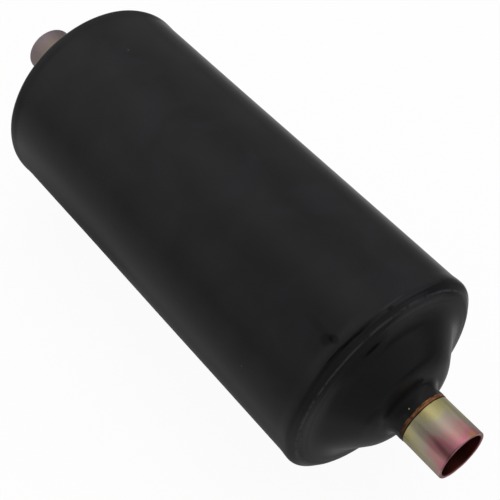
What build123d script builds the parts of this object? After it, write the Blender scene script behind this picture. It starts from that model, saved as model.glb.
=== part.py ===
from build123d import *
from math import atan2, cos, degrees, radians, sin, tan
import os

# Filter drier for a refrigerant liquid line: a tube body closed by two pressed end caps, a solder
# socket in each cap, and inside it a moulded desiccant core that a spring holds against a filter pad.
# Frame: the tube's axis is X, the liquid flows towards +X, the middle of the body is the origin.
# Sizes are in millimetres, and a name that ends in _r is a radius, in _slope or _angle degrees.

# Body tube
shell_outer_r = 38.1
shell_wall = 1.8
shell_length = 155.4
swell_rise = 0.25  # the mouths stand this much proud of the tube
swell_length = 4.2

# End caps, pressed from sheet: skirt, bend, flat shelf, valley, flank, knuckle, crown, root, collar
cap_sheet = 2.0
cap_clearance = 0.05  # skirt in the tube
skirt_depth = 7.0  # skirt inside the mouth
skirt_stand = 1.25  # skirt outside the mouth
bend_r = 2.6
shelf_slope = 8.0  # leans from square to the axis
shelf_width = 2.9
valley_r = 10.0
flank_slope = 38.5
knuckle_r = 12.0
crown_slope = 8.0
crown_width = 1.6
root_r = 3.0
collar_wall = 1.3
collar_length = 2.05

# Seam welds, one at each mouth
bead_r = 2.1
bead_turn = 61.0
bead_toe_angle = 50.0  # where the bead runs out on the cap's bend, from the radius

# Solder sockets for tube of 5/8 in (15.9 mm)
socket_bore_r = 8.0
socket_wall = 1.2
socket_reach = 15.5  # from the braze ring to the lip
lip_round = 0.35
tube_inset = 4.5  # the fitting's tail reaches this far inside the collar's crown
braze_gap = 0.9  # between the collar's end and the widened mouth
braze_clearance = 0.05  # fitting in the collar
braze_bulge = 0.08

# Support plate, against the outlet cap's skirt
plate_sheet = 1.2
plate_clearance = 0.4  # plates in the tube
plate_hole_r = 1.7
plate_hole_pitch = 6.5
plate_hole_margin = 2.0  # solid rim left between the holes and the pad's edge

# Filter pad and the gasket round it
pad_thickness = 4.5
pad_r = 24.0
felt_gap = 0.5

# Desiccant core, moulded with a draft, its bore open towards the outlet
core_length = 118.0
core_r = 32.5
core_draft = 0.5
core_edge_r = 2.0
core_bore_r = 9.0
core_bore_depth = 100.0
core_bore_draft = 0.5

# Felt washer and spring plate
felt_thickness = 3.0
felt_r = 28.0
spring_plate_r = 29.5
spring_plate_rim = 5.0
spring_plate_bend_r = 2.0
ear_width = 12.0
ear_count = 3

# Core spring
wire_r = 1.1
coil_wide_r = 24.0
coil_narrow_r = 11.6
coil_turns = 4.5
ground = 0.5  # share of the wire's radius ground off at each end


def run(length):
    """A straight step of a section line."""
    return (length, None)


def bend(radius, turn):
    """A round step of a section line: a positive turn goes away from the axis."""
    return (radius, turn)


def section_line(start, steps):
    """Edges of a line that leaves start along +X and follows the steps, each tangent to the last."""
    point = Vector(*start)
    heading = Vector(1, 0)
    edges = []
    for size, turn in steps:
        if turn is None:
            edge = Line(point, point + heading * size)
        else:
            edge = JernArc(point, heading, size, turn)
        edges.append(edge)
        point = edge @ 1
        heading = edge % 1
    return edges


def between(outer, inner):
    """Face between two section lines that run side by side."""
    ends = [Line(outer[0] @ 0, inner[0] @ 0), Line(outer[-1] @ 1, inner[-1] @ 1)]
    return make_face(outer + inner + ends)


def turned(face):
    """Solid swept by a section round the tube's axis."""
    return revolve(face, Axis.X)


def mirrored(solid):
    """The same piece at the inlet end."""
    return mirror(solid, Plane.YZ)


# Radii and stations that several pieces share
shell_inner_r = shell_outer_r - shell_wall
mouth_x = shell_length / 2
mouth_r = shell_outer_r + swell_rise
skirt_r = shell_inner_r - cap_clearance
skirt_end_x = mouth_x - skirt_depth
bend_x = mouth_x + skirt_stand
socket_r = socket_bore_r + socket_wall
tail_r = socket_bore_r - braze_clearance
collar_inner_r = tail_r + braze_clearance
collar_outer_r = collar_inner_r + collar_wall


def shell():
    """Tube body, its mouths swollen by an S of two arcs."""
    turn = 2 * degrees(atan2(swell_rise, swell_length))
    arc_r = swell_length / 2 / sin(radians(turn))
    straight = shell_length - 2 * swell_length
    steps = [bend(arc_r, -turn), bend(arc_r, turn), run(straight), bend(arc_r, turn), bend(arc_r, -turn)]
    outer = section_line((-mouth_x, mouth_r), steps)
    inner = section_line((-mouth_x, shell_inner_r), [run(shell_length)])
    return turned(between(outer, inner))


def flank_width():
    """Length of the cap's flank, which takes up what the other steps leave between skirt and collar."""
    shelf, flank, crown = (radians(a) for a in (shelf_slope, flank_slope, crown_slope))
    taken = bend_r * (1 - sin(shelf)) + shelf_width * cos(shelf)
    taken += valley_r * (sin(flank) - sin(shelf)) + knuckle_r * (sin(flank) - sin(crown))
    taken += crown_width * cos(crown) + root_r * (1 - sin(crown))
    return (skirt_r - collar_outer_r - taken) / cos(flank)


def cap_steps(depth):
    """Steps of the cap's line at a depth below its outer face, from the skirt's end to the crown's."""
    return [
        run(skirt_depth + skirt_stand),
        bend(bend_r - depth, shelf_slope - 90),
        run(shelf_width),
        bend(valley_r + depth, flank_slope - shelf_slope),
        run(flank_width()),
        bend(knuckle_r - depth, crown_slope - flank_slope),
        run(crown_width),
    ]


outer_crown = section_line((skirt_end_x, skirt_r), cap_steps(0))
inner_crown = section_line((skirt_end_x, skirt_r - cap_sheet), cap_steps(cap_sheet))
crown_inner_point = inner_crown[-1] @ 0
crown_end = inner_crown[-1] @ 1
collar_base_x = (outer_crown[-1] @ 1).X + root_r * cos(radians(crown_slope))
collar_end_x = collar_base_x + collar_length
socket_x = collar_end_x + braze_gap
lip_x = socket_x + socket_reach


def end_cap():
    """Pressed cap of one sheet, thinned where its collar is drawn out."""
    turn = 90 - crown_slope
    inner_root_r = (crown_end.Y - collar_inner_r) / (1 - sin(radians(crown_slope)))
    inner_root_x = crown_end.X + inner_root_r * cos(radians(crown_slope))
    outer = section_line((skirt_end_x, skirt_r), cap_steps(0) + [bend(root_r, turn), run(collar_length)])
    inner_steps = cap_steps(cap_sheet) + [bend(inner_root_r, turn), run(collar_end_x - inner_root_x)]
    inner = section_line((skirt_end_x, skirt_r - cap_sheet), inner_steps)
    return turned(between(outer, inner))


def seam_weld():
    """Bead that fills the corner between the tube's mouth and the cap's bend."""
    centre = Vector(bend_x, skirt_r - bend_r)
    on_cap = CenterArc(centre, bend_r, 90 - bead_toe_angle, bead_toe_angle)
    crest = JernArc((mouth_x, mouth_r), (1, 0), bead_r, -bead_turn)
    face_line = Line(crest @ 1, on_cap @ 0)
    stand = Line(on_cap @ 1, (mouth_x, skirt_r))
    mouth = Line((mouth_x, skirt_r), (mouth_x, mouth_r))
    return turned(make_face([crest, face_line, on_cap, stand, mouth]))


def fitting():
    """Tube with a widened mouth, its shoulder the stop for the line's tube."""
    tail_x = crown_end.X - tube_inset
    lean = atan2(socket_r - tail_r, braze_gap)
    inner_shift = socket_wall * tan(lean / 2)
    outline = Polyline(
        (tail_x, tail_r),
        (collar_end_x, tail_r),
        (socket_x, socket_r),
        (lip_x, socket_r),
        (lip_x, socket_bore_r),
        (socket_x + inner_shift, socket_bore_r),
        (collar_end_x + inner_shift, tail_r - socket_wall),
        (tail_x, tail_r - socket_wall),
        close=True,
    )
    face = make_face(outline)
    lip = face.vertices().filter_by_position(Axis.X, lip_x, lip_x)
    return turned(fillet(lip, lip_round))


def braze_ring():
    """Copper ring between the collar's end, the fitting's shoulder and its mouth."""
    outer = Vector(collar_end_x, collar_outer_r)
    toe = Vector(socket_x, socket_r)
    middle = (outer + toe) * 0.5 + Vector(0, braze_bulge)
    skin = ThreePointArc(outer, middle, toe)
    shoulder = Line(toe, (collar_end_x, tail_r))
    seat = Line((collar_end_x, tail_r), outer)
    return turned(make_face([skin, shoulder, seat]))


def disc(start_x, thickness, radius):
    """Round plate square to the axis, its lower face at start_x."""
    return extrude(Plane.YZ.offset(start_x) * Circle(radius), thickness)


# Stations of the pieces inside, stacked from the outlet cap's skirt towards the inlet
plate_x = skirt_end_x - plate_sheet
pad_x = plate_x - pad_thickness
core_x = pad_x - core_length
felt_x = core_x - felt_thickness
spring_plate_x = felt_x - plate_sheet
plate_r = shell_inner_r - plate_clearance


def support_plate():
    """Plate with rings of round holes behind the pad and a solid rim under the gasket."""
    holes = Circle(plate_hole_r)
    ring_count = int((pad_r - plate_hole_margin - plate_hole_r) / plate_hole_pitch)
    for ring in range(1, ring_count + 1):
        holes += PolarLocations(ring * plate_hole_pitch, 6 * ring) * Circle(plate_hole_r)
    return extrude(Plane.YZ.offset(plate_x) * (Circle(plate_r) - holes), plate_sheet)


def filter_pad():
    """Felt disc over the holes."""
    return disc(pad_x, pad_thickness, pad_r)


def core_gasket():
    """Felt ring round the pad, under the core's outer edge."""
    return disc(pad_x, pad_thickness, core_r) - disc(pad_x, pad_thickness, pad_r + felt_gap)


def drier_core():
    """Thick cup with a blind bore."""
    far_r = core_r - core_length * tan(radians(core_draft))
    blind_x = pad_x - core_bore_depth
    blind_r = core_bore_r - core_bore_depth * tan(radians(core_bore_draft))
    outline = Polyline(
        (pad_x, core_bore_r),
        (pad_x, core_r),
        (core_x, far_r),
        (core_x, 0),
        (blind_x, 0),
        (blind_x, blind_r),
        close=True,
    )
    face = make_face(outline)
    rounded = [v for v in face.vertices() if v.Y > core_bore_r + core_edge_r]
    rounded += [v for v in face.vertices() if 0 < v.Y < core_bore_r]
    return turned(fillet(rounded, core_edge_r))


def inlet_felt():
    """Felt washer that closes the core's blind end."""
    return disc(felt_x, felt_thickness, felt_r)


def spring_plate():
    """Pressed plate: a rim round the spring's wide coil, and ears that centre it in the tube."""
    steps = [run(spring_plate_rim - spring_plate_bend_r), bend(spring_plate_bend_r, -90)]
    inner_steps = [run(spring_plate_rim - spring_plate_bend_r)]
    inner_steps += [bend(spring_plate_bend_r - plate_sheet, -90)]
    rim_x = spring_plate_x + plate_sheet - spring_plate_rim
    outer = section_line((rim_x, spring_plate_r), steps)
    inner = section_line((rim_x, spring_plate_r - plate_sheet), inner_steps)
    rim = turned(between(outer, inner))
    floor = disc(spring_plate_x, plate_sheet, spring_plate_r - spring_plate_bend_r)
    ear_length = plate_r - spring_plate_r + plate_sheet
    ear_x = rim_x + plate_sheet / 2
    ear_block = Box(plate_sheet, ear_length, ear_width, align=(Align.CENTER, Align.MIN, Align.CENTER))
    reach = Cylinder(plate_r, plate_sheet, rotation=(0, 90, 0))
    hollow = Cylinder(spring_plate_r - plate_sheet / 2, plate_sheet, rotation=(0, 90, 0))
    plate = rim + floor
    for ear in range(ear_count):
        block = Pos(0, spring_plate_r - plate_sheet, 0) * ear_block
        tab = (Rot(360 / ear_count * ear, 0, 0) * block) & reach
        plate += Pos(ear_x, 0, 0) * (tab - hollow)
    return plate


def core_spring():
    """Conical spring with ground ends, its narrow coil on the inlet cap's crown."""
    seat_r = coil_narrow_r + wire_r
    seat_x = -(crown_inner_point.X + (crown_inner_point.Y - seat_r) * tan(radians(crown_slope)))
    height = spring_plate_x - seat_x
    inset = wire_r * (1 - ground)
    rise = height - 2 * inset
    cone = degrees(atan2(coil_wide_r - coil_narrow_r, rise))
    start = (spring_plate_x - inset, 0, 0)
    line = Helix(rise / coil_turns, rise, coil_wide_r, start, (-1, 0, 0), cone_angle=-cone)
    wire = sweep(Plane(line @ 0, z_dir=line % 0) * Circle(wire_r), line, is_frenet=True)
    slab = Pos((seat_x + spring_plate_x) / 2, 0, 0) * Box(height, 4 * core_r, 4 * core_r)
    return wire & slab


outlet_cap = end_cap()
outlet_weld = seam_weld()
outlet_fit = fitting()
outlet_braze = braze_ring()

pieces = {
    "shell": shell(),
    "inlet_end_cap": mirrored(outlet_cap),
    "outlet_end_cap": outlet_cap,
    "inlet_seam_weld": mirrored(outlet_weld),
    "outlet_seam_weld": outlet_weld,
    "inlet_fitting": mirrored(outlet_fit),
    "outlet_fitting": outlet_fit,
    "inlet_braze_ring": mirrored(outlet_braze),
    "outlet_braze_ring": outlet_braze,
    "core_spring": core_spring(),
    "spring_plate": spring_plate(),
    "inlet_felt": inlet_felt(),
    "drier_core": drier_core(),
    "core_gasket": core_gasket(),
    "filter_pad": filter_pad(),
    "support_plate": support_plate(),
}

os.makedirs("parts", exist_ok=True)
for name, piece in pieces.items():
    export_step(piece, f"parts/{name}.step")
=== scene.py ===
"""Looks of a filter drier: a painted body with pressed ends, plated solder sockets, and what is inside.

Sizes and stations are in millimetres along the body's axis X, counted from the middle of the body, and
become metres where a mesh or the camera is made. Only the lamp and the floor's width are given in metres.
An angle round the axis starts at +Z and grows towards +Y.
"""

import logging
from collections.abc import Callable, Mapping, Sequence
from dataclasses import dataclass, field, replace
from enum import Enum
from math import atan2, cos, degrees, hypot, pi, radians, sin, tan
from typing import Any, NamedTuple

import bpy
import numpy as np
from mathutils import Matrix, Vector


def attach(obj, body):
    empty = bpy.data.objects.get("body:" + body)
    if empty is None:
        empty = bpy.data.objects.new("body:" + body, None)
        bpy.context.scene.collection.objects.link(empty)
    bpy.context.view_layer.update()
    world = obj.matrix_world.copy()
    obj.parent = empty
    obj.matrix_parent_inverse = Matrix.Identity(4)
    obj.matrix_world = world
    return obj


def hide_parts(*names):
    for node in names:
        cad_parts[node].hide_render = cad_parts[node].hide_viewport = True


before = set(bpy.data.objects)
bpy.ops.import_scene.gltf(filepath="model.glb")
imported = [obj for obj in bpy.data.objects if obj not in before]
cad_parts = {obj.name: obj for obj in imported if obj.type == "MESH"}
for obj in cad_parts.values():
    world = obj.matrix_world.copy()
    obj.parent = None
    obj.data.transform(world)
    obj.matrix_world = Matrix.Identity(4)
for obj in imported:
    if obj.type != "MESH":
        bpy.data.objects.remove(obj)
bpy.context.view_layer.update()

log = logging.getLogger("filter_drier")

MM = 0.001  # metres
BODY = "root"
EDGE = 0.02  # step in chance between the cells that hold a spot and the others
SAME = 0.0001  # millimetres within which two points are one

Colour = tuple[float, float, float, float]
Grid = np.ndarray


def srgb(red: float, green: float, blue: float) -> Colour:
    """Turn a colour as it is seen, 0 to 255, into the linear colour that a shader takes.

    Args:
        red: Red as seen.
        green: Green as seen.
        blue: Blue as seen.

    Returns:
        The linear colour with full alpha.
    """
    parts = [c / 255 for c in (red, green, blue)]
    linear = [c / 12.92 if c <= 0.04045 else ((c + 0.055) / 1.055) ** 2.4 for c in parts]
    return (linear[0], linear[1], linear[2], 1.0)


class End(Enum):
    """The two ends of the drier, each with its side of the axis."""

    INLET = -1
    OUTLET = 1

    @property
    def label(self) -> str:
        """The end's word in the names of pieces."""
        return self.name.lower()


# ---- Shader maths ----


Joiner = Callable[["Signal", "Signal | float"], "Signal"]


def arithmetic(operation: str, turned: bool = False) -> Joiner:
    """Make an operator's method, which adds a Math node.

    Args:
        operation: The node's operation.
        turned: Whether the signal stands on the operator's right.

    Returns:
        The method.
    """

    def method(self: "Signal", other: "Signal | float") -> "Signal":
        """Join this signal and another value."""
        values = (other, self) if turned else (self, other)
        return self.graph.maths(operation, *values)

    return method


class Signal:
    """An output socket that arithmetic can be written on."""

    __add__, __radd__ = arithmetic("ADD"), arithmetic("ADD", turned=True)
    __sub__, __rsub__ = arithmetic("SUBTRACT"), arithmetic("SUBTRACT", turned=True)
    __mul__, __rmul__ = arithmetic("MULTIPLY"), arithmetic("MULTIPLY", turned=True)
    __truediv__, __rtruediv__ = arithmetic("DIVIDE"), arithmetic("DIVIDE", turned=True)

    def __init__(self, graph: "Graph", socket: bpy.types.NodeSocket) -> None:
        """Keep the socket and the graph that it belongs to."""
        self.graph = graph
        self.socket = socket

    def __abs__(self) -> "Signal":
        """Size of this value without its sign."""
        return self.graph.maths("ABSOLUTE", self)

    def swing(self, width: float) -> "Signal":
        """A noise, which stays round 0.5, made to swing round 0 by a width."""
        return (self - 0.5) * width

    def rise(self, start: float, stop: float) -> "Signal":
        """Smooth step of this value.

        Args:
            start: Where the step leaves 0; it may be the larger one.
            stop: Where the step reaches 1.

        Returns:
            A mask from 0 to 1.
        """
        low, high = sorted((start, stop))
        top = float(start < stop)
        sockets = {"Value": self, "From Min": low, "From Max": high, "To Min": 1 - top, "To Max": top}
        return self.graph.add("ShaderNodeMapRange", {"interpolation_type": "SMOOTHSTEP"}, sockets)

    def ramp(self, stops: Sequence[tuple[float, Colour]]) -> "Signal":
        """Colour by this value, from stops that are each a place from 0 to 1 and its colour."""
        return self.graph.add("ShaderNodeValToRGB", {"stops": stops}, {"Fac": self})


class Graph:
    """Adds nodes to the tree of one material or world."""

    def __init__(self, owner: bpy.types.Material | bpy.types.World) -> None:
        """Give the tree's owner an empty one.

        Args:
            owner: A material or a world.
        """
        owner.use_nodes = True
        self.tree = owner.node_tree
        self.tree.nodes.clear()

    def add(
        self,
        kind: str,
        settings: Mapping[str, Any] | None = None,
        sockets: Mapping[str | int, Any] | None = None,
        output: str | int = 0,
    ) -> Signal:
        """Add one node.

        Args:
            kind: The node's type.
            settings: Its properties, which are set first; "stops" are a ramp's.
            sockets: Values and links of its input sockets, by name or place.
            output: The output socket to hand back, by name or place.

        Returns:
            The chosen output.
        """
        node = self.tree.nodes.new(kind)
        for name, value in (settings or {}).items():
            if name == "stops":
                self._set_stops(node.color_ramp, value)
            else:
                setattr(node, name, value)
        for name, value in (sockets or {}).items():
            if isinstance(value, Signal):
                self.tree.links.new(value.socket, node.inputs[name])
            else:
                node.inputs[name].default_value = value
        return Signal(self, node.outputs[output])

    @staticmethod
    def _set_stops(ramp: bpy.types.ColorRamp, stops: Sequence[tuple[float, Colour]]) -> None:
        """Give a colour ramp its stops.

        Args:
            ramp: The ramp.
            stops: Each place from 0 to 1 with its colour.
        """
        while len(ramp.elements) < len(stops):
            ramp.elements.new(1.0)
        for element, (place, colour) in zip(ramp.elements, stops):
            element.position = place
            element.color = colour

    def close(self, kind: str, shader: Signal) -> None:
        """Join a shader to an output node of the given kind."""
        end = self.tree.nodes.new(kind)
        self.tree.links.new(shader.socket, end.inputs["Surface"])

    def maths(self, operation: str, *values: "Signal | float") -> Signal:
        """Math node on one or more values."""
        return self.add("ShaderNodeMath", {"operation": operation}, dict(enumerate(values)))

    def vector(self, operation: str, *values: Any, output: str = "Vector") -> Signal:
        """Vector Math node on one or more vectors."""
        settings = {"operation": operation}
        return self.add("ShaderNodeVectorMath", settings, dict(enumerate(values)), output)

    def mix(self, mask: Signal, under: Any, over: Any) -> Signal:
        """Lay one colour over another by a mask, which is 1 where the upper one shows."""
        settings = {"data_type": "RGBA", "clamp_factor": True}
        return self.add("ShaderNodeMix", settings, {0: mask, 6: under, 7: over}, 2)

    def tint(self, colour: Any, factor: Signal) -> Signal:
        """Scale a colour by a value."""
        return self.add("ShaderNodeVectorMath", {"operation": "SCALE"}, {0: colour, "Scale": factor})

    def place(self) -> Signal:
        """Point of the surface in the row frame, in metres."""
        return self.add("ShaderNodeTexCoord", output="Object")

    def noise(
        self,
        size: float,
        detail: float = 2.0,
        stretch: tuple[float, float, float] = (1, 1, 1),
        distortion: float = 0.0,
    ) -> Signal:
        """Smooth noise fixed to the object.

        Args:
            size: Width of its patches, in millimetres.
            detail: How many finer layers it has.
            stretch: How much wider the patches are along each axis.
            distortion: How much the patches swirl.

        Returns:
            A value round 0.5.
        """
        squeezed = self.vector("DIVIDE", self.place(), stretch)
        sockets = {"Vector": squeezed, "Scale": 1 / (size * MM), "Detail": detail}
        sockets["Distortion"] = distortion
        return self.add("ShaderNodeTexNoise", None, sockets)

    def spots(self, size: float, reach: float, share: float) -> Signal:
        """Scattered round spots.

        Args:
            size: Width of the cells that may hold a spot, in millimetres.
            reach: Radius of the largest spot, in cells.
            share: How many of the cells hold a spot, from 0 to 1.

        Returns:
            A mask, 1 in the middle of a spot.
        """
        sockets = {"Vector": self.place(), "Scale": 1 / (size * MM)}
        distance = self.add("ShaderNodeTexVoronoi", None, sockets, "Distance")
        pick = self.add("ShaderNodeTexVoronoi", None, sockets, "Color")
        chance = self.add("ShaderNodeSeparateColor", None, {0: pick}, "Red")
        kept = chance.rise(1 - share, 1 - share + EDGE)
        return distance.rise(reach, reach * 0.5) * kept

    def along(self, axis: str) -> Signal:
        """Distance from the middle of the body along X, Y or Z, in millimetres."""
        return self.add("ShaderNodeSeparateXYZ", None, {0: self.place()}, axis) * (1 / MM)

    def station(self) -> Signal:
        """Distance from the middle of the body along its axis, in millimetres."""
        return abs(self.along("X"))

    def radius(self) -> Signal:
        """Distance from the axis, in millimetres."""
        flat = self.vector("MULTIPLY", self.place(), (0, 1, 1))
        return self.vector("LENGTH", flat, output="Value") * (1 / MM)

    def angle(self) -> Signal:
        """Angle round the axis from +Z towards +Y, in degrees."""
        return self.maths("ARCTAN2", self.along("Y"), self.along("Z")) * degrees(1)


# ---- Finishes ----


class Surface(NamedTuple):
    """What a finish gives the shader at each point; the height is in millimetres."""

    colour: Signal
    roughness: Signal
    metallic: Signal | float
    height: Signal


def layered(graph: Graph, mask: Signal, under: Surface, over: Surface) -> Surface:
    """Lay one finish over another.

    Args:
        graph: The material's graph.
        mask: 0 shows the lower finish and 1 the upper one.
        under: The lower finish.
        over: The upper finish.

    Returns:
        The finish that shows.
    """
    keep = 1 - mask
    return Surface(
        graph.mix(mask, under.colour, over.colour),
        under.roughness * keep + over.roughness * mask,
        keep * under.metallic + mask * over.metallic,
        under.height * keep + over.height * mask,
    )


@dataclass(frozen=True)
class Blot:
    """A mark at a station in millimetres and an angle in degrees, and how far it reaches in each."""

    x: float
    angle: float
    length: float
    width: float
    strength: float = 1.0

    def mask(self, graph: Graph) -> Signal:
        """How strong the mark is.

        Args:
            graph: The material's graph.

        Returns:
            Its strength in the middle, and 0 past its reach.
        """
        off_x = (graph.along("X") - self.x) * (1 / self.length)
        off_angle = (graph.angle() - self.angle) * (1 / self.width)
        return (off_x * off_x + off_angle * off_angle).rise(1.0, 0.1) * self.strength


def together(graph: Graph, blots: Sequence[Blot]) -> Signal | float:
    """Strength of several marks, added up."""
    return sum(blot.mask(graph) for blot in blots)


@dataclass(frozen=True)
class Finish:
    """A finish, the record's slot that it belongs to, which nothing here reads, and how much it mirrors
    head on.
    """

    name: str
    slot: str
    specular: float = 0.5

    def surface(self, graph: Graph) -> Surface:
        """What the finish gives the shader."""
        raise NotImplementedError

    def material(self) -> bpy.types.Material:
        """Make the material, or hand back the one made before.

        Returns:
            The material.
        """
        found = bpy.data.materials.get(self.name)
        if found is not None:
            return found
        material = bpy.data.materials.new(self.name)
        graph = Graph(material)
        look = self.surface(graph)
        bump = {"Distance": 1.0, "Height": look.height * MM}
        normal = graph.add("ShaderNodeBump", None, bump, "Normal")
        sockets = {
            "Base Color": look.colour,
            "Roughness": look.roughness,
            "Metallic": look.metallic,
            "Normal": normal,
            "Specular IOR Level": self.specular,
        }
        shader = graph.add("ShaderNodeBsdfPrincipled", None, sockets)
        graph.close("ShaderNodeOutputMaterial", shader)
        return material

    def dress(self, piece: bpy.types.Object) -> None:
        """Put the finish on every material slot of a piece.

        Args:
            piece: A mesh of the scene or a node of the frame.
        """
        if not piece.material_slots:
            piece.data.materials.append(None)
        for place in piece.material_slots:
            place.material = self.material()


@dataclass(frozen=True)
class StovingPaint(Finish):
    """Satin black paint with a fine orange peel and a few dust nibs.

    Painted dark reflections blacken it in small dents, dulls roughen it, and painted sheens make it paler
    in places.
    """

    name: str = "stoving_paint"
    slot: str = "paint"
    specular: float = 0.22
    deep: Colour = srgb(21, 21, 23)
    worn: Colour = srgb(27, 27, 30)
    # painted dark reflection: near black where small dents would mirror dark surroundings
    painted_reflection_black: Colour = srgb(8, 8, 8)
    # painted sheen, and along a weld's ridge thinly worn paint under a painted highlight
    worn_and_sheen_grey: Colour = srgb(58, 58, 61)
    dust: Colour = srgb(120, 120, 116)
    gloss: float = 0.24
    cloud_size: float = 16.0
    peel_size: float = 1.5
    peel_height: float = 0.006
    grain_size: float = 0.35
    grain_height: float = 0.0008
    nib_spots: tuple[float, float, float] = (11.0, 0.022, 0.3)
    nib_height: float = 0.02
    dent_depth: float = 0.05
    # painted dark reflections, each a small dent painted black
    painted_dark_reflections: tuple[Blot, ...] = (
        Blot(74.8, -28.8, 2.2, 2.6, 0.42),
        Blot(73.2, -31.2, 2.6, 3.4, 0.3),
        Blot(69.0, -29.4, 7.0, 2.4, 0.1),
    )
    dulls: tuple[Blot, ...] = ()
    # painted sheens: paler patches where the paint would mirror brighter surroundings
    painted_sheens: tuple[Blot, ...] = ()

    def surface(self, graph: Graph) -> Surface:
        """Mix the paint.

        Args:
            graph: The material's graph.

        Returns:
            What the paint gives the shader.
        """
        cloud = graph.noise(self.cloud_size, detail=3.0, distortion=0.4)
        grain = graph.noise(self.grain_size, detail=1.0)
        peel = graph.noise(self.peel_size, detail=1.0)
        nibs = graph.spots(*self.nib_spots)
        colour = graph.mix(cloud.rise(0.35, 0.7), self.deep, self.worn)
        colour = graph.mix(nibs * 0.7, colour, self.dust)
        roughness = self.gloss + cloud.swing(0.12) + grain.swing(0.08)
        height = peel * self.peel_height + grain * self.grain_height + nibs * self.nib_height
        for dull in self.dulls:
            roughness = roughness + dull.mask(graph)
        # painted sheen
        for painted_sheen in self.painted_sheens:
            colour = graph.mix(painted_sheen.mask(graph), colour, self.worn_and_sheen_grey)
        if not self.painted_dark_reflections:
            return Surface(colour, roughness, 0.0, height)
        # painted dark reflection: a black base made metallic mirrors nothing
        painted_dark_reflection = together(graph, self.painted_dark_reflections) * cloud.rise(0.2, 0.5)
        colour = graph.mix(painted_dark_reflection, colour, self.painted_reflection_black)
        return Surface(colour, roughness, painted_dark_reflection, height - painted_dark_reflection * self.dent_depth)


@dataclass(frozen=True)
class WeldPaint(StovingPaint):
    """The body's paint on a weld, worn thinner along the ridge where the weld's face ends, with a painted
    highlight there.
    """

    name: str = "weld_paint"
    gloss: float = 0.17
    # painted dark reflections along the weld's outer side, next to the tube
    painted_dark_reflections: tuple[Blot, ...] = (
        Blot(77.9, -33.0, 0.45, 6.0, 0.4),
        Blot(78.4, -25.5, 0.45, 6.5, 0.42),
        Blot(78.75, -17.5, 0.4, 6.0, 0.36),
        Blot(78.85, -1.6, 0.6, 2.4, 0.5),
    )
    # painted sheen on the weld's crest
    painted_sheens: tuple[Blot, ...] = (Blot(77.85, 1.0, 0.3, 9.0, 0.4),)
    ridge_x: float = 80.66
    ridge_reach: float = 0.4
    ridge_wander: float = 0.3
    wander_size: float = 6.0
    patch_size: float = 2.6
    worn_highlight_share: float = 0.85

    def surface(self, graph: Graph) -> Surface:
        """Mix the paint.

        Args:
            graph: The material's graph.

        Returns:
            What the paint gives the shader.
        """
        paint = super().surface(graph)
        wander = graph.noise(self.wander_size, detail=1.0)
        patchy = graph.noise(self.patch_size, detail=3.0, distortion=0.6)
        off = abs(graph.station() - self.ridge_x + wander.swing(self.ridge_wander))
        patchy = patchy.rise(0.25, 0.6) * self.worn_highlight_share
        # thinly worn paint and a painted highlight along the ridge
        worn_highlight = off.rise(self.ridge_reach, self.ridge_reach * 0.3) * patchy
        return paint._replace(colour=graph.mix(worn_highlight, paint.colour, self.worn_and_sheen_grey))


@dataclass(frozen=True)
class CopperBraze(Finish):
    """Brazed copper, browned by the heat, with overspray of the body's paint on its lee, towards -Y, and a
    dark line at the joint of oxide and painted shade.
    """

    name: str = "copper_braze"
    slot: str = "braze"
    bright: Colour = srgb(204, 136, 88)
    brown: Colour = srgb(126, 92, 68)
    # oxide from the heat, and painted shade in the crease at the joint
    heat_oxide_and_crease_shade: Colour = srgb(44, 30, 24)
    overspray: Colour = srgb(50, 42, 38)
    joint: float = 98.24
    lee_cover: float = 0.85
    patch_size: float = 2.6
    patch_height: float = 0.03
    grain_size: float = 0.5
    grain_height: float = 0.006

    def surface(self, graph: Graph) -> Surface:
        """Mix the braze.

        Args:
            graph: The material's graph.

        Returns:
            What the braze gives the shader.
        """
        patch = graph.noise(self.patch_size, detail=3.0, distortion=0.8)
        grain = graph.noise(self.grain_size, detail=2.0)
        edge = graph.station() + patch.swing(0.3)
        colour = graph.mix(patch.rise(0.36, 0.66), self.brown, self.bright)
        # oxide and painted shade darken the braze next to the joint
        colour = graph.mix(edge.rise(self.joint - 0.3, self.joint - 0.05), colour, self.heat_oxide_and_crease_shade)
        lee = (graph.along("Y") / graph.radius() + patch.swing(0.4)).rise(-0.5, -0.95)
        colour = graph.mix(lee * self.lee_cover, colour, self.overspray)
        roughness = 0.3 + patch * 0.2 + grain * 0.1
        return Surface(colour, roughness, 1.0, patch * self.patch_height + grain * self.grain_height)


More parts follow.
